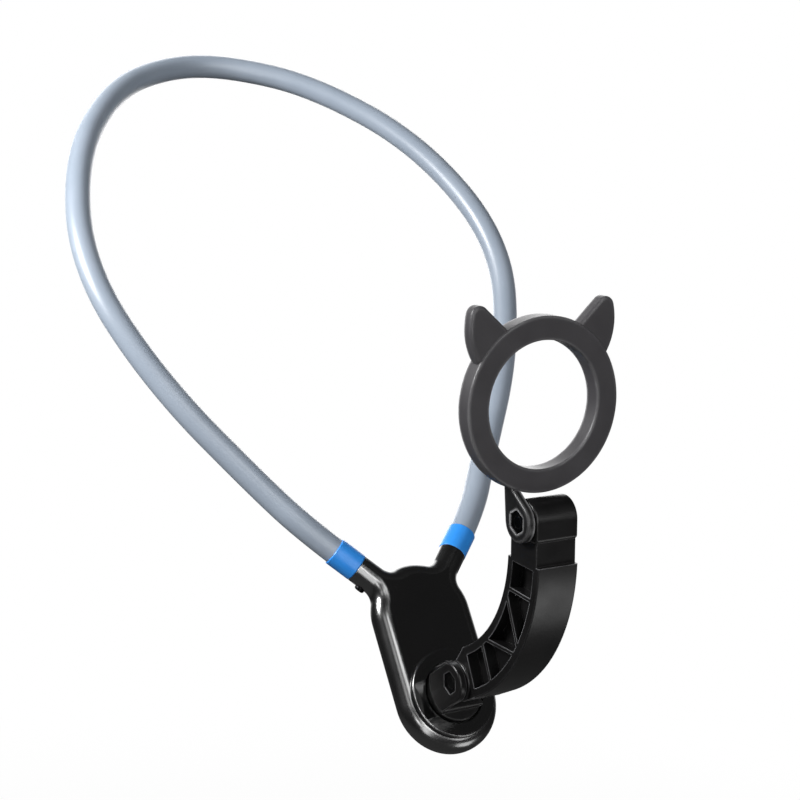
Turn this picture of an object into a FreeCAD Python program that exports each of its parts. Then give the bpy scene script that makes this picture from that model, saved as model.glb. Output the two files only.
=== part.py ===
import FreeCAD, Part
import math
import os

# Neck-worn magnetic holder. A stiff bendable tube goes round the neck and ends in a flat hub
# on the chest. A turntable on the hub carries a curved arm, and the arm carries a magnet ring.
# Millimetres. Origin under the tube at the nape, X across, -Y forward of the wearer, +Z up.

# Neck tube: a bendable metal core in a soft sleeve, crimped into a ferrule at each end.
tube_diameter = 9.4
core_diameter = 5.0
ferrule_wall = 0.7
ferrule_length = 11.0
# Corners of the tube's route on the +X side, from the hub up to the nape.
route_corners = [
    (46.0, -149.0, -141.0),
    (74.5, -123.0, -104.0),
    (90.5, -93.0, -64.5),
    (76.0, -53.0, -27.0),
    (45.5, -17.0, -3.5),
]
nape_half_run = 13.5
bend_share = 0.45

# Hub: where its face stands from the nape, how far it leans back, and its capsule form.
hub_reach = 202.3
hub_drop = 208.2
hub_lean = 33.0
hub_width = 38.4
hub_arc_distance = 30.5
hub_chin = 0.8
hub_thickness = 10.4
hub_edge_radius = 4.8
bezel_diameter = 32.0
bezel_height = 2.0
bezel_edge_radius = 0.6

# Horns: two sockets that leave the hub's upper arc like a Y, each with a spigot for the collar.
horn_splay = 43.2
horn_width = 10.0
horn_length = 29.0
horn_blend_radius = 5.0
spigot_length = 2.0
tube_bend_distance = 50.0

# Collars over the seam between spigot and tube.
collar_length = 10.1
collar_wall = 0.5
collar_edge_bevel = 0.3

# Lock screws that hold the ferrules in the horns, turned from straight under towards the back.
lock_screw_distance = 23.6
lock_screw_turn = 35.0
lock_screw_diameter = 2.5
lock_screw_seat = 4.6
lock_screw_head_diameter = 3.8
lock_screw_head_height = 1.6
lock_screw_head_round = 0.8
lock_screw_key_width = 1.5
lock_screw_key_depth = 0.7

# Back cover of the hub and its screws.
cover_thickness = 1.6
cover_margin = 6.0
cover_screw_inset = 2.6
cover_screw_angle = 45.0
cover_screw_diameter = 1.8
cover_screw_head_diameter = 3.4
cover_screw_head_height = 0.9
cover_screw_length = 3.4
cover_screw_key_width = 1.5
cover_screw_key_depth = 0.6

# Turntable: a disc in the bezel with a foot and one ear for the arm, and a shaft through the hub.
disc_diameter = 20.8
disc_groove = 0.85
disc_depth = 3.4
disc_proud = 0.8
disc_edge_radius = 0.5
shaft_diameter = 8.0
hub_wall = 2.6
hardware_pocket_diameter = 16.0
pivot_height = 19.7
foot_length = 13.6
foot_height = 3.2
foot_edge_radius = 0.8
ear_waist_height = 1.5
ear_flare_height = 4.5

# Turntable's inner hardware.
friction_disc_thickness = 0.5
friction_disc_diameter = 18.0
spring_washer_thickness = 0.8
spring_washer_diameter = 12.0
retaining_washer_thickness = 0.8
retaining_washer_diameter = 13.0
turntable_screw_diameter = 3.0
turntable_screw_head_diameter = 5.6
turntable_screw_head_height = 1.7
turntable_screw_length = 6.0
turntable_screw_key_width = 2.0
turntable_screw_key_depth = 0.9

# Arm: a moulded curved beam with a pocketed web and a knuckle at each end.
arm_span = 75.35
arm_pivot_radius = 54.8
arm_rest_tilt = 31.16
arm_width = 15.3
arm_outer_radius = 61.0
arm_inner_radius = 43.4
flange_thickness = 3.0
web_thickness = 6.9
rib_thickness = 1.3
arm_edge_radius = 0.5
knuckle_diameter = 14.2
knuckle_edge_radius = 0.8
knuckle_proud = 0.7
head_drop = 6.2
head_round = 1.4
neck_depth = 14.7
neck_step = 1.4
neck_angle = 14.7
neck_heading = 12.3
neck_root = 0.8
neck_edge_radius = 0.5
tail_angle = 8.1
pocket_end_angle = 1.4
# Ribs as angles down from the upper pivot: at the inner flange, then at the outer flange.
rib_angles = [(28.6, 25.9), (30.9, 45.1), (60.7, 47.3), (63.1, 66.7)]

# Pivots: bolt, nut and friction washer, and the lug or ear beside the arm's knuckle.
lug_thickness = 2.5
lug_diameter = 13.6
lug_edge_radius = 0.8
pivot_bolt_diameter = 4.0
pivot_head_diameter = 7.0
pivot_head_height = 2.4
pivot_head_sink = 0.2
pivot_key_width = 2.5
pivot_key_depth = 1.3
nut_width = 7.0
nut_thickness = 1.5
nut_sink = 0.4
friction_washer_thickness = 0.4
friction_washer_diameter = 11.6

# Magnet ring: an open channel at the back for yoke, magnets and pad, and a lug below, which
# reaches from the pivot to the ring's edge.
ring_diameter = 57.0
ring_hole_diameter = 41.4
ring_thickness = 6.0
ring_edge_radius = 0.7
lug_reach = 7.9
ring_set_back = 1.73
ring_channel_margin = 1.4
ring_front_wall = 2.0
lug_root_depth = 1.5
lug_root_inset = 1.8
yoke_thickness = 0.8
pad_thickness = 0.8
magnet_count = 16
magnet_gap_angle = 2.5

# Pointed ears: base angles on the ring, and the bulge and tip of the edge from the ring's centre.
ear_thickness = 4.0
ear_set_back = 0.5
ear_outer_angle = 28.4
ear_inner_angle = 63.5
ear_root_depth = 3.0
ear_bulge_x = 27.6
ear_bulge_z = 25.3
ear_tip_x = 25.2
ear_tip_z = 35.4
ear_tip_radius = 3.2
ear_edge_radius = 1.2

# Clearances.
seat_clearance = 0.05
running_clearance = 0.06
face_gap = 0.05
head_clearance = 0.3
# How close two places count as one when edges are picked.
tolerance = 0.001

# Sizes worked out from those above.
tube_radius = tube_diameter / 2
core_radius = core_diameter / 2
ferrule_radius = core_radius + ferrule_wall
socket_radius = ferrule_radius + seat_clearance
tube_start = horn_length + spigot_length
hub_radius = hub_width / 2
hub_middle = -hub_thickness / 2
cover_floor = cover_thickness - hub_thickness
cover_radius = hub_radius - cover_margin
disc_radius = disc_diameter / 2
disc_floor = bezel_height - disc_depth
disc_bottom = disc_floor + friction_disc_thickness + face_gap
disc_top = bezel_height + disc_proud
shaft_radius = shaft_diameter / 2
wall_inside = disc_floor - hub_wall
shaft_end = wall_inside - face_gap - spring_washer_thickness
knuckle_radius = knuckle_diameter / 2
arm_half = arm_width / 2
arm_half_angle = math.degrees(math.asin(arm_span / 2 / arm_pivot_radius))
beam_end_angle = 2 * arm_half_angle - tail_angle
pivot_radius = pivot_bolt_diameter / 2
lug_radius = lug_diameter / 2
knuckle_end = arm_half + knuckle_proud
lug_inside = knuckle_end + friction_washer_thickness + face_gap
lug_outside = lug_inside + lug_thickness
nut_outside = lug_outside - nut_sink
nut_inside = nut_outside - nut_thickness
head_outside = arm_half - pivot_head_sink
head_inside = head_outside - pivot_head_height
ring_radius = ring_diameter / 2
ring_rise = ring_radius + lug_reach
ring_hole_radius = ring_hole_diameter / 2
channel_inner = ring_hole_radius + ring_channel_margin
channel_outer = ring_radius - ring_channel_margin
ring_front = ring_set_back
ring_back = ring_set_back + ring_thickness
channel_floor = ring_front + ring_front_wall

vector = FreeCAD.Vector
axis_x = vector(1, 0, 0)
axis_y = vector(0, 1, 0)
axis_z = vector(0, 0, 1)
middle = vector(0, 0, 0)

# Frames. The hub's has x across, y up the hub and z out of its face, on the turntable's axis.
# The arm's starts at its lower pivot with z towards its upper pivot. The ring's is at the upper pivot.
hub_place = FreeCAD.Placement(
    vector(0, -hub_reach, -hub_drop), FreeCAD.Rotation(axis_x, 90 - hub_lean)
)
lower_pivot = vector(0, 0, pivot_height)
arm_place = FreeCAD.Placement(
    hub_place.multVec(lower_pivot), FreeCAD.Rotation(axis_x, arm_rest_tilt)
)
upper_pivot = vector(0, 0, arm_span)
ring_place = FreeCAD.Placement(arm_place.multVec(upper_pivot), FreeCAD.Rotation())


def placed(shape, place):
    """The shape moved from its own frame to its place on the part."""
    moved = shape.copy()
    moved.Placement = place.multiply(moved.Placement)
    return moved


def rod(radius, start, end):
    """A cylinder from one point to another."""
    return Part.makeCylinder(radius, (end - start).Length, start, end - start)


def hollow(outer, inner, start, end):
    """A ring or bush from one point to another."""
    return rod(outer, start, end).cut(rod(inner, start, end))


def hexagon(width, start, end):
    """A hexagonal prism from one point to another, by its width across flats."""
    reach = width / math.sqrt(3)
    turns = [math.radians(60 * step) for step in range(7)]
    outline = Part.makePolygon([vector(reach * math.cos(t), reach * math.sin(t), 0) for t in turns])
    prism = Part.Face(outline).extrude(axis_z * (end - start).Length)
    return placed(prism, FreeCAD.Placement(start, FreeCAD.Rotation(axis_z, end - start)))


def plate(corners, along):
    """A flat piece with straight sides, given by its corners in order."""
    return Part.Face(Part.makePolygon(corners + corners[:1])).extrude(along)


def rounded(shape, radius, choose):
    """The shape with a fillet on each edge whose middle point is chosen."""
    edges = []
    for edge in shape.Edges:
        if choose(edge.valueAt((edge.FirstParameter + edge.LastParameter) / 2)):
            edges.append(edge)
    return shape.makeFillet(radius, edges)


def near(value, target):
    return abs(value - target) < tolerance


def write(shape, node):
    """One file for each piece."""
    shape.exportStep(os.path.join("parts", node + ".step"))


# Horns, in the hub's frame: side is 1 for +X and -1 for -X.
horn_root = vector(0, hub_arc_distance, hub_middle)


def horn_along(side):
    turn = math.radians(horn_splay)
    return vector(side * math.sin(turn), math.cos(turn), 0)


def horn_under(side):
    """Square to the horn, towards its underside."""
    turn = math.radians(horn_splay)
    return vector(side * math.cos(turn), -math.sin(turn), 0)


def on_horn(side, distance, under=0.0):
    return horn_root + horn_along(side) * distance + horn_under(side) * under


def on_lock_screw(side, reach):
    """A point on a lock screw's axis, by its distance from the horn's middle line."""
    turn = math.radians(lock_screw_turn)
    out = horn_under(side) * math.cos(turn) - axis_z * math.sin(turn)
    return on_horn(side, lock_screw_distance) + out * reach


def blend_arc(side, under_side):
    """The outline's hollow arc where a horn leaves the hub, from hub to horn."""
    offset = (horn_width / 2 + horn_blend_radius) * under_side
    reach = math.sqrt((hub_radius + horn_blend_radius) ** 2 - offset ** 2)
    centre = on_horn(side, reach, offset)
    on_hub = horn_root + (centre - horn_root).normalize() * hub_radius
    on_side = on_horn(side, reach, horn_width / 2 * under_side)
    between = ((on_hub - centre) + (on_side - centre)).normalize() * horn_blend_radius
    return on_hub, centre + between, on_side


def hub_outline():
    """Capsule outline with both horns, as one closed wire at the hub's middle plane."""
    low = vector(0, -hub_chin, hub_middle)
    edges = [Part.Arc(low - axis_x * hub_radius, low - axis_y * hub_radius,
                      low + axis_x * hub_radius).toShape()]
    arc_ends = {}
    for side in (1, -1):
        hub_low, bend_low, horn_low = blend_arc(side, 1)
        hub_high, bend_high, horn_high = blend_arc(side, -1)
        tip_low = on_horn(side, horn_length, horn_width / 2)
        tip_high = on_horn(side, horn_length, -horn_width / 2)
        corner = horn_root + axis_x * (side * hub_radius)
        shoulder = (hub_low - horn_root + axis_x * (side * hub_radius)).normalize() * hub_radius
        edges.append(Part.makeLine(low + axis_x * (side * hub_radius), corner))
        edges.append(Part.Arc(corner, horn_root + shoulder, hub_low).toShape())
        edges.append(Part.Arc(hub_low, bend_low, horn_low).toShape())
        edges.append(Part.makeLine(horn_low, tip_low))
        edges.append(Part.makeLine(tip_low, tip_high))
        edges.append(Part.makeLine(tip_high, horn_high))
        edges.append(Part.Arc(horn_high, bend_high, hub_high).toShape())
        arc_ends[side] = hub_high
    crown = horn_root + axis_y * hub_radius
    edges.append(Part.Arc(arc_ends[1], crown, arc_ends[-1]).toShape())
    return Part.Wire(Part.__sortEdges__(edges))


def capsule(radius, z_start, z_end):
    """A plain capsule on the hub's two arc centres."""
    left = vector(-radius, 0, z_start)
    right = vector(radius, 0, z_start)
    rise = axis_y * hub_arc_distance
    wire = Part.Wire([
        Part.Arc(left, vector(0, -radius, z_start), right).toShape(),
        Part.makeLine(right, right + rise),
        Part.Arc(right + rise, vector(0, hub_arc_distance + radius, z_start), left + rise).toShape(),
        Part.makeLine(left + rise, left),
    ])
    return Part.Face(wire).extrude(axis_z * (z_end - z_start))


def on_axis(height):
    """A point on the turntable's axis."""
    return vector(0, 0, height)


def cover_screw_places():
    """Four points on the cover, two round each arc centre."""
    reach = cover_radius - cover_screw_inset
    turn = math.radians(cover_screw_angle)
    across = reach * math.sin(turn)
    along = reach * math.cos(turn)
    heights = (-along, hub_arc_distance + along)
    return [vector(x, y, 0) for x in (-across, across) for y in heights]


def make_hub_housing():
    """Moulded body: rounded capsule with horns, a bezel round the turntable and an open back."""
    outline = hub_outline()
    outline.translate(axis_z * hub_middle)
    body = Part.Face(outline).extrude(axis_z * hub_thickness)
    tips = [on_horn(side, horn_length) for side in (1, -1)]

    def on_rim(point):
        at_face = near(point.z, 0) or near(point.z, -hub_thickness)
        at_tip = min((vector(point.x, point.y, hub_middle) - tip).Length for tip in tips) < tolerance
        return at_face and not at_tip

    body = rounded(body, hub_edge_radius, on_rim)
    bezel = rod(bezel_diameter / 2, on_axis(hub_middle), on_axis(bezel_height))
    bezel = rounded(bezel, bezel_edge_radius, lambda point: near(point.z, bezel_height))
    body = body.fuse(bezel)
    for side in (1, -1):
        body = body.fuse(rod(tube_radius, on_horn(side, hub_radius), on_horn(side, tube_start)))
    body = body.cut(rod(disc_radius + disc_groove, on_axis(disc_floor), on_axis(disc_top)))
    body = body.cut(rod(shaft_radius + running_clearance, on_axis(-hub_thickness), on_axis(disc_top)))
    pocket_floor = on_axis(wall_inside)
    body = body.cut(rod(hardware_pocket_diameter / 2, on_axis(-hub_thickness), pocket_floor))
    body = body.cut(capsule(cover_radius, -hub_thickness, cover_floor))
    for side in (1, -1):
        socket_end = on_horn(side, tube_start - ferrule_length - seat_clearance)
        body = body.cut(rod(socket_radius, socket_end, on_horn(side, tube_start)))
        outside = on_lock_screw(side, horn_width)
        body = body.cut(rod(lock_screw_diameter / 2, on_lock_screw(side, 0), outside))
        head_hole = rod(lock_screw_head_diameter / 2 + seat_clearance,
                        on_lock_screw(side, lock_screw_seat), outside)
        body = body.cut(head_hole)
    for place in cover_screw_places():
        hole_end = cover_screw_head_height + cover_screw_length - hub_thickness
        hole = rod(cover_screw_diameter / 2, on_axis(-hub_thickness) + place, on_axis(hole_end) + place)
        body = body.cut(hole)
    return body.removeSplitter()


def make_back_cover():
    """Thin plate let into the hub's back, with sunk holes for its screws."""
    cover = capsule(cover_radius - seat_clearance, -hub_thickness, cover_floor)
    for place in cover_screw_places():
        back = on_axis(-hub_thickness) + place
        head_floor = on_axis(cover_screw_head_height - hub_thickness) + place
        cover = cover.cut(rod(cover_screw_diameter / 2, back, on_axis(cover_floor) + place))
        cover = cover.cut(rod(cover_screw_head_diameter / 2 + seat_clearance, back, head_floor))
    return cover


def make_cover_screws():
    """Four small screws with key sockets, heads flush with the cover."""
    screws = []
    for place in cover_screw_places():
        back = on_axis(-hub_thickness) + place
        head_floor = on_axis(cover_screw_head_height - hub_thickness) + place
        screw = rod(cover_screw_head_diameter / 2, back, head_floor)
        screw = screw.fuse(rod(cover_screw_diameter / 2, back, head_floor + axis_z * cover_screw_length))
        key = hexagon(cover_screw_key_width, back, back + axis_z * cover_screw_key_depth)
        screws.append(screw.cut(key).removeSplitter())
    return Part.makeCompound(screws)


def make_lock_screws():
    """A button-head screw in each horn, its point on the ferrule and its head in a shallow seat."""
    screws = []
    for side in (1, -1):
        seat = on_lock_screw(side, lock_screw_seat)
        top = lock_screw_seat + lock_screw_head_height
        head_top = on_lock_screw(side, top)
        key_floor = on_lock_screw(side, top - lock_screw_key_depth)
        head_radius = lock_screw_head_diameter / 2
        head = rounded(rod(head_radius, seat, head_top), lock_screw_head_round,
                       lambda point: near((point - head_top).Length, head_radius))
        screw = head.fuse(rod(lock_screw_diameter / 2, on_lock_screw(side, ferrule_radius), key_floor))
        screws.append(screw.cut(hexagon(lock_screw_key_width, key_floor, head_top)).removeSplitter())
    return Part.makeCompound(screws)


def make_collar(side):
    """Coloured band over the spigot and the start of the tube."""
    start = on_horn(side, horn_length)
    end = on_horn(side, horn_length + collar_length)
    outer = tube_radius + collar_wall
    band = rod(outer, start, end)
    band = band.makeChamfer(collar_edge_bevel, band.Edges[0:3:2])
    return band.cut(rod(tube_radius + seat_clearance, start, end))


def make_ferrule(side):
    """Metal bush crimped on the core's end, seated in the horn."""
    start = on_horn(side, tube_start - ferrule_length)
    return hollow(ferrule_radius, core_radius, start, on_horn(side, tube_start))


def tube_route(start_distance):
    """The tube's path on the part, from a point in one horn to the same point in the other."""
    nape_height = tube_radius
    half = [hub_place.multVec(on_horn(1, tube_start)), hub_place.multVec(on_horn(1, tube_bend_distance))]
    half += [vector(*corner) for corner in route_corners]
    half.append(vector(nape_half_run, 0, nape_height))
    points = half + [vector(-point.x, point.y, point.z) for point in reversed(half)]
    edges = []
    last = hub_place.multVec(on_horn(1, start_distance))
    for before, corner, after in zip(points, points[1:], points[2:]):
        come = corner - before
        go = after - corner
        reach = bend_share * min(come.Length, go.Length)
        come.normalize()
        go.normalize()
        half_turn = come.getAngle(go) / 2
        inward = (go - come).normalize()
        radius = reach / math.tan(half_turn)
        sink = radius / math.cos(half_turn) - radius
        arc_start = corner - come * reach
        arc_end = corner + go * reach
        edges.append(Part.makeLine(last, arc_start))
        edges.append(Part.Arc(arc_start, corner + inward * sink, arc_end).toShape())
        last = arc_end
    edges.append(Part.makeLine(last, hub_place.multVec(on_horn(-1, start_distance))))
    return Part.Wire(edges)


def swept(radius, path):
    """A round bar along the path."""
    first = path.Edges[0]
    start = first.valueAt(first.FirstParameter)
    circle = Part.Wire(Part.makeCircle(radius, start, first.tangentAt(first.FirstParameter)))
    return path.makePipeShell([circle], True, False)


def make_neck_sleeve():
    """Soft sleeve between the two spigots."""
    path = tube_route(tube_start)
    return swept(tube_radius, path).cut(swept(core_radius + seat_clearance, path))


def make_neck_core():
    """Bendable metal core through the sleeve and into both ferrules."""
    return swept(core_radius, tube_route(tube_start - ferrule_length))


def make_friction_disc():
    """Thin plastic disc under the turntable."""
    inner = shaft_radius + running_clearance
    top = on_axis(disc_floor + friction_disc_thickness)
    return hollow(friction_disc_diameter / 2, inner, on_axis(disc_floor), top)


def make_spring_washer():
    return hollow(spring_washer_diameter / 2, shaft_radius + seat_clearance,
                  on_axis(shaft_end), on_axis(shaft_end + spring_washer_thickness))


def make_retaining_washer():
    back = on_axis(shaft_end - retaining_washer_thickness)
    return hollow(retaining_washer_diameter / 2, turntable_screw_diameter / 2 + seat_clearance,
                  back, on_axis(shaft_end))


def make_turntable_screw():
    """Screw up the turntable's shaft that holds its washers."""
    seat = shaft_end - retaining_washer_thickness
    back = seat - turntable_screw_head_height
    screw = rod(turntable_screw_head_diameter / 2, on_axis(back), on_axis(seat))
    screw = screw.fuse(rod(turntable_screw_diameter / 2, on_axis(back),
                           on_axis(seat + turntable_screw_length)))
    key = hexagon(turntable_screw_key_width, on_axis(back), on_axis(back + turntable_screw_key_depth))
    return screw.cut(key).removeSplitter()


def on_pivot(x):
    """A point on a pivot's axis."""
    return vector(x, 0, 0)


def make_pivot_bolt():
    """Cap screw along the pivot: head sunk in the arm, thread end in the nut."""
    bolt = rod(pivot_head_diameter / 2, on_pivot(head_inside), on_pivot(head_outside))
    bolt = bolt.fuse(rod(pivot_radius, on_pivot(-nut_outside), on_pivot(head_outside)))
    key = hexagon(pivot_key_width, on_pivot(head_outside - pivot_key_depth), on_pivot(head_outside))
    return bolt.cut(key).removeSplitter()


def make_pivot_nut():
    nut = hexagon(nut_width, on_pivot(-nut_inside), on_pivot(-nut_outside))
    return nut.cut(rod(pivot_radius, on_pivot(-nut_inside), on_pivot(-nut_outside)))


def make_friction_washer():
    """Thin disc on the arm's knuckle, against the lug or ear."""
    return hollow(friction_washer_diameter / 2, pivot_radius + running_clearance,
                  on_pivot(-knuckle_end - friction_washer_thickness), on_pivot(-knuckle_end))


def nut_trap():
    """What a lug loses for the nut and bolt."""
    trap = hexagon(nut_width + 2 * seat_clearance, on_pivot(-nut_inside), on_pivot(-lug_outside))
    return trap.fuse(rod(pivot_radius + seat_clearance, on_pivot(-lug_inside), on_pivot(-lug_outside)))


def tangent_turn(point, turn_sign):
    """Where a line from the point touches the lug's circle, in the pivot's Y-Z plane."""
    base = math.atan2(point.z, point.y)
    turn = base + turn_sign * math.acos(lug_radius / point.Length)
    return vector(0, lug_radius * math.cos(turn), lug_radius * math.sin(turn))


def lug_plate(root_start, root_end):
    """A round-ended plate beside the knuckle, reaching from the pivot to a straight root."""
    touch_start = tangent_turn(root_start, 1)
    touch_end = tangent_turn(root_end, -1)
    far = (root_start + root_end).normalize() * -lug_radius
    wire = Part.Wire([
        Part.Arc(touch_start, far, touch_end).toShape(),
        Part.makeLine(touch_end, root_end),
        Part.makeLine(root_end, root_start),
        Part.makeLine(root_start, touch_start),
    ])
    wire.translate(axis_x * -lug_outside)
    lug = Part.Face(wire).extrude(axis_x * lug_thickness)
    return rounded(lug, lug_edge_radius,
                   lambda point: near(point.x, -lug_outside) and not near(point.z, root_end.z))


def make_turntable():
    """Disc, foot, ear and shaft in one moulding."""
    disc = rod(disc_radius, on_axis(disc_bottom), on_axis(disc_top))
    disc = rounded(disc, disc_edge_radius, lambda point: near(point.z, disc_top))
    foot_top = disc_top + foot_height
    foot = Part.makeBox(lug_outside + arm_half, foot_length, foot_top - disc_bottom,
                        vector(-lug_outside, -foot_length / 2, disc_bottom))
    foot = rounded(foot, foot_edge_radius, lambda point: near(point.z, foot_top))
    # The ear hangs down from the pivot in its own frame, so its root is below.
    root = disc_bottom - pivot_height
    ear = lug_plate(vector(0, lug_radius, root), vector(0, -lug_radius, root))
    ear.translate(lower_pivot)
    # Near the disc the ear keeps inside the disc's edge, and it widens above.
    waist = disc_top + ear_waist_height
    flare = waist + ear_flare_height
    wide = math.hypot(lug_outside, lug_radius)
    top = pivot_height + lug_diameter
    inside = Part.Face(Part.makePolygon([
        on_axis(disc_bottom), vector(disc_radius, 0, disc_bottom), vector(disc_radius, 0, waist),
        vector(wide, 0, flare), vector(wide, 0, top), on_axis(top), on_axis(disc_bottom),
    ])).revolve(middle, axis_z, 360)
    body = foot.fuse(ear).common(inside).fuse(disc)
    body = body.fuse(rod(shaft_radius, on_axis(shaft_end), on_axis(disc_bottom)))
    screw_end = shaft_end - retaining_washer_thickness + turntable_screw_length
    body = body.cut(rod(turntable_screw_diameter / 2, on_axis(shaft_end), on_axis(screw_end)))
    trap = nut_trap()
    trap.translate(lower_pivot)
    return body.cut(trap).removeSplitter()


# Arm, in its own frame: a circle through both pivots, centred behind the arm.
arm_centre = vector(0, arm_pivot_radius * math.cos(math.radians(arm_half_angle)), arm_span / 2)


def on_arm(radius, angle):
    """A point on the arm's plane, by radius and by angle down from the upper pivot."""
    turn = math.radians(arm_half_angle - angle)
    return arm_centre + vector(0, -math.cos(turn), math.sin(turn)) * radius


# Which way the neck and head go up, and which way their front looks.
neck_out = (on_arm(arm_pivot_radius, neck_heading) - arm_centre).normalize()
neck_up = neck_out.cross(axis_x)


def arm_sector(inner, outer, start_angle, end_angle, x_start, x_end):
    """A curved bar of the arm between two radii and two angles."""
    centre_angle = (start_angle + end_angle) / 2
    wire = Part.Wire([
        Part.Arc(on_arm(outer, start_angle), on_arm(outer, centre_angle),
                 on_arm(outer, end_angle)).toShape(),
        Part.makeLine(on_arm(outer, end_angle), on_arm(inner, end_angle)),
        Part.Arc(on_arm(inner, end_angle), on_arm(inner, centre_angle),
                 on_arm(inner, start_angle)).toShape(),
        Part.makeLine(on_arm(inner, start_angle), on_arm(outer, start_angle)),
    ])
    wire.translate(axis_x * x_start)
    return Part.Face(wire).extrude(axis_x * (x_end - x_start))


def make_rib(inner_angle, outer_angle):
    """A thin wall across the pockets, from inside one flange to inside the other."""
    inner = on_arm(arm_inner_radius + flange_thickness / 2, inner_angle)
    outer = on_arm(arm_outer_radius - flange_thickness / 2, outer_angle)
    side = axis_x.cross(outer - inner).normalize() * (rib_thickness / 2)
    corners = [inner - side, outer - side, outer + side, inner + side]
    corners = [corner - axis_x * arm_half for corner in corners]
    return plate(corners, axis_x * arm_width)


def at_knuckle_end(point):
    return near(point.x, -knuckle_end) or near(point.x, arm_half)


def make_neck():
    """Slimmer block from the beam's upper end to the head."""
    outer = on_arm(arm_outer_radius - neck_step, neck_angle)
    inner = on_arm(arm_outer_radius - neck_step - neck_depth, neck_angle)
    front = outer + neck_up * neck_up.dot(upper_pivot - outer)
    back = inner + neck_up * (neck_up.dot(upper_pivot - inner) - head_drop)
    sunk_outer = outer - neck_up * neck_root
    sunk_inner = inner - neck_up * neck_root
    # The neck's top slopes from its back edge up into the head.
    slope_end = (back + upper_pivot) / 2
    corners = [sunk_outer, sunk_inner, back, slope_end, front]
    neck = plate([corner - axis_x * arm_half for corner in corners], axis_x * arm_width)
    front_middle = (sunk_outer + front) / 2
    back_middle = (sunk_inner + back) / 2

    def on_long_edge(point):
        flat = vector(0, point.y, point.z)
        return min((flat - front_middle).Length, (flat - back_middle).Length) < tolerance

    return rounded(neck, neck_edge_radius, on_long_edge)


def make_arm_head():
    """Upper knuckle: round over the pivot, straight below it and rounded under its front."""
    front = upper_pivot + neck_out * knuckle_radius
    back = upper_pivot - neck_out * knuckle_radius
    drop = neck_up * head_drop
    wire = Part.Wire([
        Part.Arc(front, upper_pivot + neck_up * knuckle_radius, back).toShape(),
        Part.makeLine(back, back - drop),
        Part.makeLine(back - drop, front - drop),
        Part.makeLine(front - drop, front),
    ])
    wire.translate(axis_x * -knuckle_end)
    head = Part.Face(wire).extrude(axis_x * (knuckle_end + arm_half))
    chin = front - drop

    def under_front(point):
        return near(point.y, chin.y) and near(point.z, chin.z)

    head = rounded(head, head_round, under_front)
    floor = upper_pivot.dot(neck_up) - head_drop
    return rounded(head, knuckle_edge_radius,
                   lambda point: at_knuckle_end(point) and point.dot(neck_up) > floor + tolerance)


def make_curved_arm():
    """Curved beam with pockets and ribs on both sides, a slimmer neck and two knuckles."""
    beam = arm_sector(arm_inner_radius, arm_outer_radius, neck_angle, beam_end_angle, -arm_half, arm_half)
    flange_radii = (arm_inner_radius, arm_outer_radius)

    def on_flange_edge(point):
        radius = (vector(0, point.y, point.z) - arm_centre).Length
        on_side = near(abs(point.x), arm_half)
        return on_side and any(near(radius, flange) for flange in flange_radii)

    beam = rounded(beam, arm_edge_radius, on_flange_edge)
    ribs = [make_rib(*angles) for angles in rib_angles]
    pocket_start = neck_angle + pocket_end_angle
    pocket_end = beam_end_angle - pocket_end_angle
    for x_start, x_end in ((-arm_half, -web_thickness / 2), (web_thickness / 2, arm_half)):
        pocket = arm_sector(arm_inner_radius + flange_thickness, arm_outer_radius - flange_thickness,
                            pocket_start, pocket_end, x_start, x_end)
        beam = beam.cut(pocket.cut(ribs))
    tail_corners = [
        on_arm(arm_outer_radius, beam_end_angle), on_arm(arm_inner_radius, beam_end_angle),
        on_arm(arm_pivot_radius - knuckle_radius, 2 * arm_half_angle),
        on_arm(arm_pivot_radius + knuckle_radius, 2 * arm_half_angle),
    ]
    tail_corners = [corner - axis_x * arm_half for corner in tail_corners]
    tail = plate(tail_corners, axis_x * arm_width)
    knuckle = rod(knuckle_radius, on_pivot(-knuckle_end), on_pivot(arm_half))
    knuckle = rounded(knuckle, knuckle_edge_radius, at_knuckle_end)
    bore = rod(pivot_radius + running_clearance, on_pivot(-knuckle_end), on_pivot(arm_half))
    head_hole = rod(pivot_head_diameter / 2 + head_clearance,
                    on_pivot(head_inside - face_gap), on_pivot(arm_half))
    bore = bore.fuse(head_hole)
    arm = beam.fuse([make_neck(), tail, knuckle, make_arm_head()]).cut(bore)
    bore.translate(upper_pivot)
    return arm.cut(bore).removeSplitter()


# Ring, in the frame of the upper pivot: its axis is along Y.
ring_centre = vector(0, 0, ring_rise)


def ring_band(inner, outer, y_start, y_end):
    """A flat ring round the magnet ring's axis."""
    return hollow(outer, inner, ring_centre + axis_y * y_start, ring_centre + axis_y * y_end)


def on_ring(radius, angle, side, y):
    """A point on the ring by radius and by angle up from the side."""
    turn = math.radians(angle)
    return ring_centre + vector(side * radius * math.cos(turn), y, radius * math.sin(turn))


def make_pointed_ear(side):
    """Flat ear with a curved outer edge, a straight inner edge and a round tip."""
    front = ring_front + ear_set_back
    root = ring_radius - ear_root_depth
    outer_base = on_ring(root, ear_outer_angle, side, front)
    inner_base = on_ring(root, ear_inner_angle, side, front)
    bulge = ring_centre + vector(side * ear_bulge_x, front, ear_bulge_z)
    tip = ring_centre + vector(side * ear_tip_x, front, ear_tip_z)
    wire = Part.Wire([
        Part.Arc(outer_base, bulge, tip).toShape(),
        Part.makeLine(tip, inner_base),
        Part.makeLine(inner_base, outer_base),
    ])
    ear = Part.Face(wire).extrude(axis_y * ear_thickness)

    def at_tip(point):
        return near(point.x, tip.x) and near(point.z, tip.z)

    ear = rounded(ear, ear_tip_radius, at_tip)
    root_middle = (inner_base + outer_base) / 2
    return rounded(ear, ear_edge_radius,
                   lambda point: near(point.y, front) and (point - root_middle).Length > tolerance)


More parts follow.
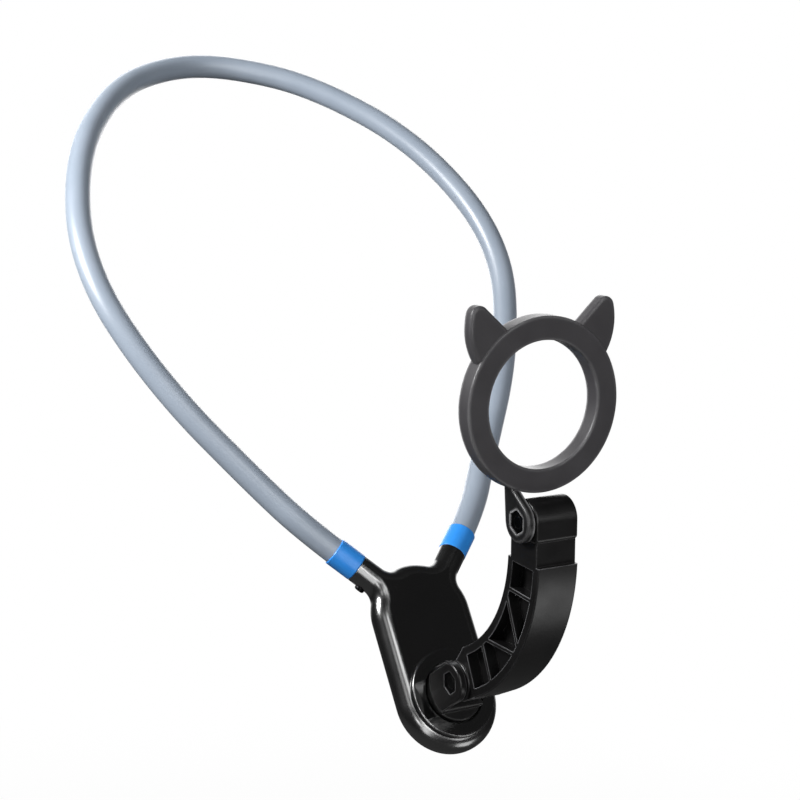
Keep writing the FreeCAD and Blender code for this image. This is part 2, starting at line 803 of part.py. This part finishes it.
def make_ring_body():
    """Ring, ears and lug in one moulding, with the magnet channel open at the back."""
    ring = ring_band(ring_hole_radius, ring_radius, ring_front, ring_back)
    ring = rounded(ring, ring_edge_radius, lambda point: near(point.y, ring_front))
    lug_root = ring_rise + lug_root_depth - math.sqrt(ring_radius ** 2 - lug_inside ** 2)
    lug = lug_plate(vector(0, ring_front + lug_root_inset, lug_root), vector(0, ring_back, lug_root))
    body = ring.fuse([lug, make_pointed_ear(1), make_pointed_ear(-1)])
    body = body.cut(ring_band(channel_inner, channel_outer, channel_floor, ring_back))
    return body.cut(nut_trap()).removeSplitter()


def make_yoke():
    """Steel band on the channel's floor that closes the magnets' field."""
    return ring_band(channel_inner + seat_clearance, channel_outer - seat_clearance,
                     channel_floor, channel_floor + yoke_thickness)


def make_magnets():
    """Arc magnets set round the yoke."""
    start = channel_floor + yoke_thickness
    band = ring_band(channel_inner + seat_clearance, channel_outer - seat_clearance,
                     start, ring_back - pad_thickness)
    pitch = 360.0 / magnet_count
    reach = 2 * ring_diameter
    magnets = []
    for step in range(magnet_count):
        low = step * pitch + magnet_gap_angle / 2
        high = (step + 1) * pitch - magnet_gap_angle / 2
        wedge = plate([ring_centre, on_ring(reach, low, 1, 0), on_ring(reach, high, 1, 0)],
                      axis_y * (ring_back + ring_thickness))
        magnets.append(band.common(wedge))
    return Part.makeCompound(magnets)


def make_face_pad():
    """Soft ring over the magnets, flush with the ring's back."""
    return ring_band(channel_inner + seat_clearance, channel_outer - seat_clearance,
                     ring_back - pad_thickness, ring_back)


os.makedirs("parts", exist_ok=True)

lower_place = hub_place.multiply(FreeCAD.Placement(lower_pivot, FreeCAD.Rotation()))
upper_on_arm = arm_place.multiply(FreeCAD.Placement(upper_pivot, FreeCAD.Rotation()))

write(make_neck_sleeve(), "neck_sleeve")
write(make_neck_core(), "neck_core")
write(placed(make_hub_housing(), hub_place), "hub_housing")
write(placed(make_back_cover(), hub_place), "hub_back_cover")
write(placed(make_cover_screws(), hub_place), "back_cover_screws")
write(placed(make_lock_screws(), hub_place), "tube_lock_screws")
for name, side in (("left", 1), ("right", -1)):
    write(placed(make_collar(side), hub_place), "collar_" + name)
    write(placed(make_ferrule(side), hub_place), "ferrule_" + name)
write(placed(make_friction_disc(), hub_place), "turntable_friction_disc")

write(placed(make_turntable(), hub_place), "turntable")
write(placed(make_spring_washer(), hub_place), "turntable_spring_washer")
write(placed(make_retaining_washer(), hub_place), "turntable_retaining_washer")
write(placed(make_turntable_screw(), hub_place), "turntable_screw")
write(placed(make_pivot_bolt(), lower_place), "lower_pivot_bolt")
write(placed(make_pivot_nut(), lower_place), "lower_pivot_nut")

write(placed(make_curved_arm(), arm_place), "curved_arm")
write(placed(make_friction_washer(), arm_place), "lower_friction_washer")
write(placed(make_friction_washer(), upper_on_arm), "upper_friction_washer")

write(placed(make_ring_body(), ring_place), "magnet_ring_body")
write(placed(make_yoke(), ring_place), "magnet_yoke")
write(placed(make_magnets(), ring_place), "ring_magnets")
write(placed(make_face_pad(), ring_place), "ring_face_pad")
write(placed(make_pivot_bolt(), ring_place), "upper_pivot_bolt")
write(placed(make_pivot_nut(), ring_place), "upper_pivot_nut")
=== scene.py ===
import math
import bmesh
import bpy
from mathutils import Matrix, Vector


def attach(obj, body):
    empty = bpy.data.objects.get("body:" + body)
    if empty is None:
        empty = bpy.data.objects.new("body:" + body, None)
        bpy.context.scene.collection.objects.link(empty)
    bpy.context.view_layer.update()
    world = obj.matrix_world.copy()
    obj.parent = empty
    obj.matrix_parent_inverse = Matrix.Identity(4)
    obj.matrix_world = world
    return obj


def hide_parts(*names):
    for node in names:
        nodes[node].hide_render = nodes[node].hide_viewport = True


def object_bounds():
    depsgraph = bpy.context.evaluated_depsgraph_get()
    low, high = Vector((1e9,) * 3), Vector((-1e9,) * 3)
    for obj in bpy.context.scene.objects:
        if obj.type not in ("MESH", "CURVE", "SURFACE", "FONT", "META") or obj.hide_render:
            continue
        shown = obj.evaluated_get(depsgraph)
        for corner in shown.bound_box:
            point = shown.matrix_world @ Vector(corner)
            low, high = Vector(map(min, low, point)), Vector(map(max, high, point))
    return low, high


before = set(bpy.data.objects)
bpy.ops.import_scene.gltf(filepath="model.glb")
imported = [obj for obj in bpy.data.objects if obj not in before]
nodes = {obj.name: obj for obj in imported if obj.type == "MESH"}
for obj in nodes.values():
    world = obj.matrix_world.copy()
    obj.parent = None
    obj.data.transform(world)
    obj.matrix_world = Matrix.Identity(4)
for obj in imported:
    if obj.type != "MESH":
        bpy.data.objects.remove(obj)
cad_low, cad_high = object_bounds()

# Neck sleeve: a soft grey rubber extrusion with a slight gloss, drawn over the bendable core.
# It leaves each horn in line with it, swings out round the neck and closes at the nape, in one
# even curve with no seam.
SLEEVE_RADIUS = 0.0047
SLEEVE_SIDES = 12
SLEEVE_STEPS = 20
SLEEVE_ROUTE = [
    (0.021221, -0.169020, -0.166500),
    (0.034227, -0.161476, -0.154884),
    (0.0460, -0.1490, -0.1410),
    (0.0745, -0.1230, -0.1040),
    (0.0905, -0.0930, -0.0645),
    (0.0760, -0.0530, -0.0270),
    (0.0455, -0.0170, -0.0035),
    (0.0135, 0.0000, 0.0047),
]
SLEEVE_COLOURS = ((0.338, 0.396, 0.475, 1.0), (0.362, 0.420, 0.500, 1.0))
SLEEVE_ROUGHNESS = (0.33, 0.40)
SLEEVE_GRAIN = 0.0009
SLEEVE_GRAIN_DEPTH = 0.000001
SLEEVE_SHINE = 0.82
NOISE_DETAIL = 4.0
NOISE_MIDDLE = (0.3, 0.7)
FULL_SPAN = (0.0, 1.0)
PATCH_IN_GRAINS = 14.0
SOFT_EDGE = 0.0003
SOFT_EDGE_SAMPLES = 6


def new_material(name):
    """An empty material with its shader and its output joined."""
    material = bpy.data.materials.new(name)
    material.use_nodes = True
    tree = material.node_tree
    return material, tree, tree.nodes["Principled BSDF"]


def noise(tree, size):
    """A noise pattern fixed to the piece, with grains of about this size in metres."""
    place = tree.nodes.new("ShaderNodeTexCoord")
    pattern = tree.nodes.new("ShaderNodeTexNoise")
    pattern.inputs["Scale"].default_value = 1.0 / size
    pattern.inputs["Detail"].default_value = NOISE_DETAIL
    tree.links.new(place.outputs["Object"], pattern.inputs["Vector"])
    return pattern.outputs["Fac"]


def stretch(tree, value, from_span, to_span):
    """The node that carries a value from one span to another and stops at the ends."""
    node = tree.nodes.new("ShaderNodeMapRange")
    node.inputs["From Min"].default_value = from_span[0]
    node.inputs["From Max"].default_value = from_span[1]
    node.inputs["To Min"].default_value = to_span[0]
    node.inputs["To Max"].default_value = to_span[1]
    tree.links.new(value, node.inputs["Value"])
    return node


def uneven(tree, pattern, span):
    """A noise pattern stretched so that its middle fills a span."""
    return stretch(tree, pattern, NOISE_MIDDLE, span).outputs["Result"]


def mottle(tree, pattern, colours):
    """Two close colours mixed by a noise pattern."""
    mix = tree.nodes.new("ShaderNodeMix")
    mix.data_type = "RGBA"
    mix.inputs["A"].default_value = colours[0]
    mix.inputs["B"].default_value = colours[1]
    tree.links.new(uneven(tree, pattern, FULL_SPAN), mix.inputs["Factor"])
    return mix.outputs["Result"]


def grain(tree, shader, size, depth, edge):
    """Fine surface relief of this depth in metres, with sharp edges softened by a small radius."""
    soft = tree.nodes.new("ShaderNodeBevel")
    soft.samples = SOFT_EDGE_SAMPLES
    soft.inputs["Radius"].default_value = edge
    bump = tree.nodes.new("ShaderNodeBump")
    bump.inputs["Distance"].default_value = depth
    tree.links.new(noise(tree, size), bump.inputs["Height"])
    tree.links.new(soft.outputs["Normal"], bump.inputs["Normal"])
    tree.links.new(bump.outputs["Normal"], shader.inputs["Normal"])


def moulding(name, colours, roughness, grain_size, grain_depth):
    """Moulded plastic or rubber: close colours, uneven gloss, a fine grain and soft edges."""
    material, tree, shader = new_material(name)
    patches = noise(tree, PATCH_IN_GRAINS * grain_size)
    tree.links.new(mottle(tree, patches, colours), shader.inputs["Base Color"])
    tree.links.new(uneven(tree, patches, roughness), shader.inputs["Roughness"])
    grain(tree, shader, grain_size, grain_depth, SOFT_EDGE)
    return material, tree, shader


def sleeve_finish():
    """Smooth rubber with a long soft highlight."""
    material, tree, shader = moulding("sleeve_rubber", SLEEVE_COLOURS, SLEEVE_ROUGHNESS,
                                      SLEEVE_GRAIN, SLEEVE_GRAIN_DEPTH)
    shader.inputs["Specular IOR Level"].default_value = SLEEVE_SHINE
    return material


def make_sleeve():
    """One smooth tube along the route and its mirror image."""
    curve = bpy.data.curves.new("neck_sleeve_soft", "CURVE")
    curve.dimensions = "3D"
    curve.bevel_depth = SLEEVE_RADIUS
    curve.bevel_resolution = SLEEVE_SIDES
    curve.resolution_u = SLEEVE_STEPS
    curve.use_fill_caps = True
    mirrored = [(-x, y, z) for x, y, z in reversed(SLEEVE_ROUTE)]
    route = SLEEVE_ROUTE + mirrored
    spline = curve.splines.new("NURBS")
    spline.points.add(len(route) - 1)
    for point, place in zip(spline.points, route):
        point.co = (*place, 1.0)
    spline.order_u = 3
    spline.use_endpoint_u = True
    sleeve = bpy.data.objects.new("neck_sleeve_soft", curve)
    bpy.context.scene.collection.objects.link(sleeve)
    curve.materials.append(sleeve_finish())
    return sleeve


neck_sleeve = make_sleeve()
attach(neck_sleeve, "neck_frame")
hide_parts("neck_sleeve")

# Core and ferrules: drawn aluminium wire that holds the shape it is bent to, with a steel bush
# crimped on each end. The sleeve and the horns hide them, so they have a plain metal finish.
CORE_COLOURS = ((0.50, 0.51, 0.52, 1.0), (0.62, 0.63, 0.64, 1.0))
CORE_ROUGHNESS = (0.30, 0.45)
STEEL_COLOURS = ((0.44, 0.45, 0.46, 1.0), (0.56, 0.57, 0.58, 1.0))
STEEL_ROUGHNESS = (0.28, 0.42)
METAL_GRAIN = 0.0006
METAL_GRAIN_DEPTH = 0.00001
WELD_REACH = 0.000002
SHARP_ANGLE = math.radians(32.0)


def drawn_metal(name, colours, roughness):
    """Bare or plated metal with a fine grain."""
    material, tree, shader = moulding(name, colours, roughness, METAL_GRAIN, METAL_GRAIN_DEPTH)
    shader.inputs["Metallic"].default_value = 1.0
    return material


def dress(node, material):
    """Puts one finish on a piece of the frame, shaded smooth up to its real edges."""
    piece = nodes[node]
    piece.data.materials.clear()
    piece.data.materials.append(material)
    piece.data.shade_smooth()
    piece.modifiers.new("joined", "WELD").merge_threshold = WELD_REACH
    piece.modifiers.new("edges", "EDGE_SPLIT").split_angle = SHARP_ANGLE
    piece.modifiers.new("flats", "WEIGHTED_NORMAL").keep_sharp = True


dress("neck_core", drawn_metal("core_aluminium", CORE_COLOURS, CORE_ROUGHNESS))
plain_steel = drawn_metal("plain_steel", STEEL_COLOURS, STEEL_ROUGHNESS)
for name in ("ferrule_left", "ferrule_right"):
    dress(name, plain_steel)

# Collars: bright blue moulded bands with a satin surface, one at each end of the tube. Each is
# pushed over the seam where the sleeve goes into its horn.
COLLAR_COLOURS = ((0.036, 0.310, 0.93, 1.0), (0.042, 0.350, 1.0, 1.0))
COLLAR_ROUGHNESS = (0.30, 0.40)
COLLAR_GRAIN = 0.0008
COLLAR_GRAIN_DEPTH = 0.000002
collar_plastic = moulding("collar_blue", COLLAR_COLOURS, COLLAR_ROUGHNESS,
                          COLLAR_GRAIN, COLLAR_GRAIN_DEPTH)[0]
for name in ("collar_left", "collar_right"):
    dress(name, collar_plastic)

# Hub: one black injection moulding with two horns and a round bezel. The flat face that looks
# forward is polished smooth, and the sides, horns and bezel have a softer gloss.
HUB_LEAN = math.radians(33.0)
HUB_FACE = Vector((0.0, -math.cos(HUB_LEAN), math.sin(HUB_LEAN)))
HUB_COLOURS = ((0.0028, 0.0028, 0.0030, 1.0), (0.0036, 0.0036, 0.0038, 1.0))
HUB_GLOSS = (0.21, 0.26)
HUB_PATCH = 0.012
HUB_IOR = 2.8
HUB_GRAIN = 0.0012
HUB_GRAIN_DEPTH = 0.000001
HUB_EDGE = 0.0002
FACE_POLISH = (0.10, 0.14)
FACE_PATCH = 0.0006
FACE_DOT = (0.998, 0.9995)


def vector_math(tree, operation, first, second):
    """The node that works on a vector socket and a fixed vector."""
    node = tree.nodes.new("ShaderNodeVectorMath")
    node.operation = operation
    node.inputs[1].default_value = second
    tree.links.new(first, node.inputs[0])
    return node


def facing(tree, direction, dot_span):
    """1 on the faces that look along a direction, and 0 on the rest."""
    normal = tree.nodes.new("ShaderNodeNewGeometry")
    dot = vector_math(tree, "DOT_PRODUCT", normal.outputs["True Normal"], direction)
    return stretch(tree, dot.outputs["Value"], dot_span, FULL_SPAN).outputs["Result"]


def hub_finish():
    """One deep black, with gloss on the sides and polish on the face."""
    material, tree, shader = new_material("hub_gloss_black")
    patches = noise(tree, HUB_PATCH)
    tree.links.new(mottle(tree, patches, HUB_COLOURS), shader.inputs["Base Color"])
    gloss = tree.nodes.new("ShaderNodeMix")
    tree.links.new(facing(tree, HUB_FACE, FACE_DOT), gloss.inputs["Factor"])
    tree.links.new(uneven(tree, patches, HUB_GLOSS), gloss.inputs["A"])
    tree.links.new(uneven(tree, noise(tree, FACE_PATCH), FACE_POLISH), gloss.inputs["B"])
    tree.links.new(gloss.outputs["Result"], shader.inputs["Roughness"])
    shader.inputs["IOR"].default_value = HUB_IOR
    grain(tree, shader, HUB_GRAIN, HUB_GRAIN_DEPTH, HUB_EDGE)
    return material


dress("hub_housing", hub_finish())

# Back cover: a satin black moulded plate, let into the hub's back and held by four small screws.
# Its outward edges are painted lighter, partly as handling wear and partly as a painted highlight,
# more in some places than in others.
SATIN_COLOURS = ((0.0046, 0.0044, 0.0046, 1.0), (0.0060, 0.0058, 0.0060, 1.0))
SATIN_ROUGHNESS = (0.30, 0.38)
SATIN_GRAIN = 0.0007
SATIN_GRAIN_DEPTH = 0.00001
# Edge grey: a painted highlight along the outward edges, which also stands for handling wear.
EDGE_WEAR_AND_HIGHLIGHT_GREY = (0.24, 0.24, 0.25, 1.0)
EDGE_WIDTH = 0.0004
EDGE_SAMPLES = 8
EDGE_SHADE = (0.92, 0.55)
WEAR_AND_HIGHLIGHT_PATCH = 0.011
WEAR_AND_HIGHLIGHT_AMOUNT = (0.15, 1.0)


def recolour(tree, shader, factor, colour):
    """Lays one more colour over what the shader has, by a factor."""
    body = shader.inputs["Base Color"].links[0].from_socket
    mix = tree.nodes.new("ShaderNodeMix")
    mix.data_type = "RGBA"
    mix.inputs["B"].default_value = colour
    tree.links.new(body, mix.inputs["A"])
    tree.links.new(factor, mix.inputs["Factor"])
    tree.links.new(mix.outputs["Result"], shader.inputs["Base Color"])


def rub_and_highlight_edges(tree, shader, colour, width):
    """Edges: a thin line along each outward edge is painted lighter, partly as handling wear and
    partly as a painted highlight.
    """
    thin = tree.nodes.new("ShaderNodeAmbientOcclusion")
    thin.inside = True
    thin.only_local = True
    thin.samples = EDGE_SAMPLES
    thin.inputs["Distance"].default_value = width
    wear_and_highlight = stretch(tree, thin.outputs["AO"], EDGE_SHADE, FULL_SPAN)
    tree.links.new(uneven(tree, noise(tree, WEAR_AND_HIGHLIGHT_PATCH), WEAR_AND_HIGHLIGHT_AMOUNT), wear_and_highlight.inputs["To Max"])
    recolour(tree, shader, wear_and_highlight.outputs["Result"], colour)


def satin_finish():
    """Satin black plastic with its edges painted lighter, as wear and as a painted highlight."""
    material, tree, shader = moulding("satin_black", SATIN_COLOURS, SATIN_ROUGHNESS,
                                      SATIN_GRAIN, SATIN_GRAIN_DEPTH)
    rub_and_highlight_edges(tree, shader, EDGE_WEAR_AND_HIGHLIGHT_GREY, EDGE_WIDTH)
    return material


# Its edge lines are a painted highlight as well as wear, on the back cover, the turntable and the
# arm.
satin_black = satin_finish()
dress("hub_back_cover", satin_black)

# Screws, bolts and nuts: small turned steel parts with a black oxide finish. Screws hold the back
# cover and the tube's ends, and a bolt and a nut in a hexagonal seat make each of the two pivots.
OXIDE_COLOURS = ((0.012, 0.012, 0.013, 1.0), (0.020, 0.020, 0.021, 1.0))
OXIDE_ROUGHNESS = (0.30, 0.42)
black_oxide = drawn_metal("black_oxide", OXIDE_COLOURS, OXIDE_ROUGHNESS)
for name in ("back_cover_screws", "tube_lock_screws", "lower_pivot_bolt", "upper_pivot_bolt",
             "lower_pivot_nut", "upper_pivot_nut"):
    dress(name, black_oxide)

# Turntable: a satin black moulding, a disc in the hub's bezel with an ear for the arm. Steel
# washers and a screw hold it from behind, and a disc of smooth plastic gives it its friction.
WASHER_COLOURS = ((0.022, 0.022, 0.023, 1.0), (0.030, 0.030, 0.031, 1.0))
WASHER_ROUGHNESS = (0.30, 0.40)
WASHER_GRAIN = 0.0008
WASHER_GRAIN_DEPTH = 0.00001
dress("turntable", satin_black)
for name in ("turntable_spring_washer", "turntable_retaining_washer", "turntable_screw"):
    dress(name, plain_steel)
washer_plastic = moulding("washer_plastic", WASHER_COLOURS, WASHER_ROUGHNESS,
                          WASHER_GRAIN, WASHER_GRAIN_DEPTH)[0]
dress("turntable_friction_disc", washer_plastic)

# Curved arm: one satin black moulding, a bent beam with ribbed pockets and a knuckle at each end.
# A bolt through each knuckle joins it to the turntable's ear below and to the ring's lug above,
# with a thin washer of smooth plastic between the two.
dress("curved_arm", satin_black)
for name in ("lower_friction_washer", "upper_friction_washer"):
    dress(name, washer_plastic)

# Magnet ring: a warm dark grey satin moulding with two pointed ears, and a black lug below. The
# channel in its back holds a steel band, nickel-plated arc magnets and a soft rubber pad.
RING_COLOURS = ((0.055, 0.0524, 0.0566, 1.0), (0.062, 0.0594, 0.0640, 1.0))
RING_ROUGHNESS = (0.36, 0.44)
RING_GRAIN = 0.0007
RING_GRAIN_DEPTH = 0.00002
# Ring edge grey: a painted highlight along the ring's and ears' edges, which also stands for wear.
RING_EDGE_WEAR_AND_HIGHLIGHT = (0.48, 0.48, 0.49, 1.0)
RING_EDGE_WIDTH = 0.0011
RING_MIDDLE = (0.0, 0.0, -0.0966)
RING_OUTSIDE = (0.0286, 0.0288)
RING_PLANE = (1.0, 0.0, 1.0)
LUG_BLACK = (0.0055, 0.0055, 0.0058, 1.0)
NICKEL_COLOURS = ((0.60, 0.59, 0.56, 1.0), (0.70, 0.69, 0.66, 1.0))
NICKEL_ROUGHNESS = (0.18, 0.28)
PAD_COLOURS = ((0.020, 0.020, 0.021, 1.0), (0.026, 0.026, 0.027, 1.0))
PAD_ROUGHNESS = (0.55, 0.68)
PAD_GRAIN = 0.0005
PAD_GRAIN_DEPTH = 0.00004


def below_ring(tree):
    """1 on the lug that hangs under the ring, and 0 on the ring and its pointed ears."""
    place = tree.nodes.new("ShaderNodeTexCoord").outputs["Object"]
    flat = vector_math(tree, "MULTIPLY", place, RING_PLANE)
    reach = vector_math(tree, "DISTANCE", flat.outputs["Vector"], RING_MIDDLE)
    outside = stretch(tree, reach.outputs["Value"], RING_OUTSIDE, FULL_SPAN)
    height = tree.nodes.new("ShaderNodeSeparateXYZ")
    tree.links.new(place, height.inputs["Vector"])
    low = tree.nodes.new("ShaderNodeMath")
    low.operation = "LESS_THAN"
    low.inputs[1].default_value = RING_MIDDLE[2]
    tree.links.new(height.outputs["Z"], low.inputs[0])
    both = tree.nodes.new("ShaderNodeMath")
    both.operation = "MULTIPLY"
    tree.links.new(outside.outputs["Result"], both.inputs[0])
    tree.links.new(low.outputs["Value"], both.inputs[1])
    return both.outputs["Value"]


def ring_finish():
    """Dark grey plastic with a black lug, and edges painted lighter as wear and as a painted
    highlight.
    """
    material, tree, shader = moulding("ring_dark_grey", RING_COLOURS, RING_ROUGHNESS,
                                      RING_GRAIN, RING_GRAIN_DEPTH)
    recolour(tree, shader, below_ring(tree), LUG_BLACK)
    # The light edge lines are a painted highlight as well as wear.
    rub_and_highlight_edges(tree, shader, RING_EDGE_WEAR_AND_HIGHLIGHT, RING_EDGE_WIDTH)
    return material


dress("magnet_ring_body", ring_finish())
dress("magnet_yoke", plain_steel)
dress("ring_magnets", drawn_metal("nickel_plate", NICKEL_COLOURS, NICKEL_ROUGHNESS))
pad_rubber = moulding("pad_rubber", PAD_COLOURS, PAD_ROUGHNESS, PAD_GRAIN, PAD_GRAIN_DEPTH)[0]
dress("ring_face_pad", pad_rubber)

# Floor: a disc of pale paper well below the holder, which takes its soft shadow. It glows to white
# at its rim, so that it runs into the backdrop, and it is clear when seen from beneath.
FLOOR_GAP = 0.30
FLOOR_RADIUS = 1.0
FLOOR_SIDES = 96
FLOOR_PALE = (0.10, 0.10, 0.10, 1.0)
FLOOR_WHITE = (0.90, 0.90, 0.90, 1.0)
FLOOR_GLOW = (0.72, 1.0)
GLOW_REACH = (0.45, 0.9)
WHITE = (1.0, 1.0, 1.0, 1.0)


def seen_directly(tree, *other_kinds):
    """1 for rays that come to the camera straight or in the other ways named, and 0 for the rest."""
    path = tree.nodes.new("ShaderNodeLightPath")
    seen = path.outputs["Is Camera Ray"]
    for kind in other_kinds:
        either = tree.nodes.new("ShaderNodeMath")
        either.operation = "MAXIMUM"
        tree.links.new(seen, either.inputs[0])
        tree.links.new(path.outputs[kind], either.inputs[1])
        seen = either.outputs["Value"]
    return seen


def mix_shaders(tree, factor, first, second):
    """The first shader where the factor is 0, and the second where it is 1."""
    mix = tree.nodes.new("ShaderNodeMixShader")
    tree.links.new(factor, mix.inputs["Fac"])
    tree.links.new(first, mix.inputs[1])
    tree.links.new(second, mix.inputs[2])
    return mix.outputs["Shader"]


def floor_finish():
    """Paper that looks white from above and throws little light back."""
    material, tree, shader = new_material("floor_paper")
    tree.nodes.remove(shader)
    pale = tree.nodes.new("ShaderNodeBsdfDiffuse")
    pale.inputs["Color"].default_value = FLOOR_PALE
    paper = tree.nodes.new("ShaderNodeBsdfDiffuse")
    paper.inputs["Color"].default_value = FLOOR_WHITE
    glow = tree.nodes.new("ShaderNodeEmission")
    glow.inputs["Color"].default_value = WHITE
    place = tree.nodes.new("ShaderNodeTexCoord")
    distance = tree.nodes.new("ShaderNodeVectorMath")
    distance.operation = "LENGTH"
    tree.links.new(place.outputs["Object"], distance.inputs[0])
    far = stretch(tree, distance.outputs["Value"], GLOW_REACH, FLOOR_GLOW)
    far.interpolation_type = "SMOOTHSTEP"
    sheet = mix_shaders(tree, far.outputs["Result"], paper.outputs["BSDF"], glow.outputs["Emission"])
    direct = seen_directly(tree, "Is Transmission Ray")
    above = mix_shaders(tree, direct, pale.outputs["BSDF"], sheet)
    side = tree.nodes.new("ShaderNodeNewGeometry")
    clear = tree.nodes.new("ShaderNodeBsdfTransparent")
    surface = mix_shaders(tree, side.outputs["Backfacing"], above, clear.outputs["BSDF"])
    tree.links.new(surface, tree.nodes["Material Output"].inputs["Surface"])
    return material


def make_floor():
    """A flat disc under the holder."""
    shape = bmesh.new()
    bmesh.ops.create_circle(shape, cap_ends=True, segments=FLOOR_SIDES, radius=FLOOR_RADIUS)
    bmesh.ops.translate(shape, verts=shape.verts, vec=(0.0, 0.0, cad_low.z - FLOOR_GAP))
    mesh = bpy.data.meshes.new("floor")
    shape.to_mesh(mesh)
    shape.free()
    mesh.materials.append(floor_finish())
    floor = bpy.data.objects.new("floor", mesh)
    bpy.context.scene.collection.objects.link(floor)
    return floor


make_floor()

# Camera: a long lens in front of the holder, to its right and a little above the arm. Its place,
# turn and lens are those of the photograph.
CAMERA_AZIMUTH = math.radians(30.566)
CAMERA_ELEVATION = math.radians(10.569)
CAMERA_ROLL = math.radians(-0.208)
CAMERA_PLACE = Vector((-0.3521, -0.7622, 0.0196))
CAMERA_LENS = 88.995
CAMERA_NEAR = 0.01
CAMERA_FAR = 100.0
FORWARD = Vector((
    math.cos(CAMERA_ELEVATION) * math.sin(CAMERA_AZIMUTH),
    math.cos(CAMERA_ELEVATION) * math.cos(CAMERA_AZIMUTH),
    -math.sin(CAMERA_ELEVATION),
))


def make_camera():
    """The scene's camera, turned to look forward with its roll."""
    data = bpy.data.cameras.new("photo_camera")
    data.lens = CAMERA_LENS
    data.clip_start = CAMERA_NEAR
    data.clip_end = CAMERA_FAR
    camera = bpy.data.objects.new("photo_camera", data)
    level = FORWARD.cross(Vector((0.0, 0.0, 1.0))).normalized()
    down = FORWARD.cross(level)
    right = level * math.cos(CAMERA_ROLL) + down * math.sin(CAMERA_ROLL)
    up = right.cross(FORWARD)
    turn = Matrix((right, up, -FORWARD)).transposed()
    camera.matrix_world = Matrix.Translation(CAMERA_PLACE) @ turn.to_4x4()
    bpy.context.scene.collection.objects.link(camera)
    bpy.context.scene.camera = camera


make_camera()
bpy.context.scene.view_settings.view_transform = "Standard"

# Studio: a white backdrop behind the holder and dim walls elsewhere, so that black gloss shows the
# lamps and little else. The camera sees white all round, and matt surfaces get a weak even fill.
STUDIO_LIGHT = (0.026, 1.0)
STUDIO_FADE = (0.70, 0.92)
STUDIO_FILL = 0.035


def make_studio():
    """The world's light."""
    world = bpy.data.worlds.new("studio")
    world.use_nodes = True
    tree = world.node_tree
    place = tree.nodes.new("ShaderNodeTexCoord")
    dot = vector_math(tree, "DOT_PRODUCT", place.outputs["Generated"], FORWARD)
    fade = stretch(tree, dot.outputs["Value"], STUDIO_FADE, STUDIO_LIGHT)
    seen = tree.nodes.new("ShaderNodeMath")
    seen.operation = "MAXIMUM"
    tree.links.new(seen_directly(tree), seen.inputs[0])
    tree.links.new(fade.outputs["Result"], seen.inputs[1])
    backdrop = tree.nodes["Background"]
    backdrop.inputs["Color"].default_value = WHITE
    tree.links.new(seen.outputs["Value"], backdrop.inputs["Strength"])
    fill = tree.nodes.new("ShaderNodeBackground")
    fill.inputs["Color"].default_value = WHITE
    fill.inputs["Strength"].default_value = STUDIO_FILL
    direct = seen_directly(tree, "Is Glossy Ray", "Is Transmission Ray")
    surface = mix_shaders(tree, direct, fill.outputs["Background"], backdrop.outputs["Background"])
    tree.links.new(surface, tree.nodes["World Output"].inputs["Surface"])
    bpy.context.scene.world = world


make_studio()

# Lamps: white soft boxes, which the camera doesn't see. One stands at the left, one behind, and
# the rest in front, each where the hub, a horn or the arm shows its highlight.
HOLDER_MIDDLE = Vector((0.0, -0.16, -0.11))
HUB_SPOT = Vector((-0.01, -0.195, -0.195))
ARM_SPOT = Vector((0.0, -0.26, -0.165))


def soft_box(name, target, direction, distance, size, watts, tilt=0.0):
    """A rectangular lamp that faces its target from a direction, at a distance in metres."""
    lamp = bpy.data.lights.new(name, "AREA")
    lamp.shape = "RECTANGLE"
    lamp.size = size[0]
    lamp.size_y = size[1]
    lamp.energy = watts
    box = bpy.data.objects.new(name, lamp)
    out = Vector(direction).normalized()
    turn = out.to_track_quat("Z", "Y").to_matrix().to_4x4()
    roll = Matrix.Rotation(math.radians(tilt), 4, "Z")
    box.matrix_world = Matrix.Translation(target + out * distance) @ turn @ roll
    box.visible_camera = False
    bpy.context.scene.collection.objects.link(box)


soft_box("side_box", HOLDER_MIDDLE, (-0.82, 0.20, 0.54), distance=0.6, size=(0.21, 0.21), watts=4.7)
soft_box("back_box", HOLDER_MIDDLE, (0.38, 0.90, 0.22), distance=1.0, size=(0.9, 0.9), watts=6.0)
soft_box("band_box", HUB_SPOT, (-0.04, -0.71, 0.68), distance=1.3, size=(0.75, 0.16), watts=2.4)
soft_box("corner_box", HUB_SPOT, (0.05, -0.91, 0.41), distance=1.3, size=(0.26, 0.26), watts=1.5)
soft_box("crescent_box", HUB_SPOT, (0.44, -0.86, 0.27), distance=1.3, size=(0.16, 0.40), watts=0.7)
soft_box("front_box", HUB_SPOT, (-0.60, -0.55, 0.58), distance=1.3, size=(0.40, 0.30), watts=0.6)
soft_box("heel_box", HUB_SPOT, (-0.50, -0.83, 0.24), distance=1.3, size=(0.26, 0.22), watts=1.1)
soft_box("horn_strip", HUB_SPOT, (-0.284, -0.945, 0.11), distance=1.2, size=(1.0, 0.22), watts=2.6,
         tilt=50.0)
soft_box("arm_box", ARM_SPOT, (0.50, -0.62, -0.60), distance=0.4, size=(0.16, 0.18), watts=0.20)
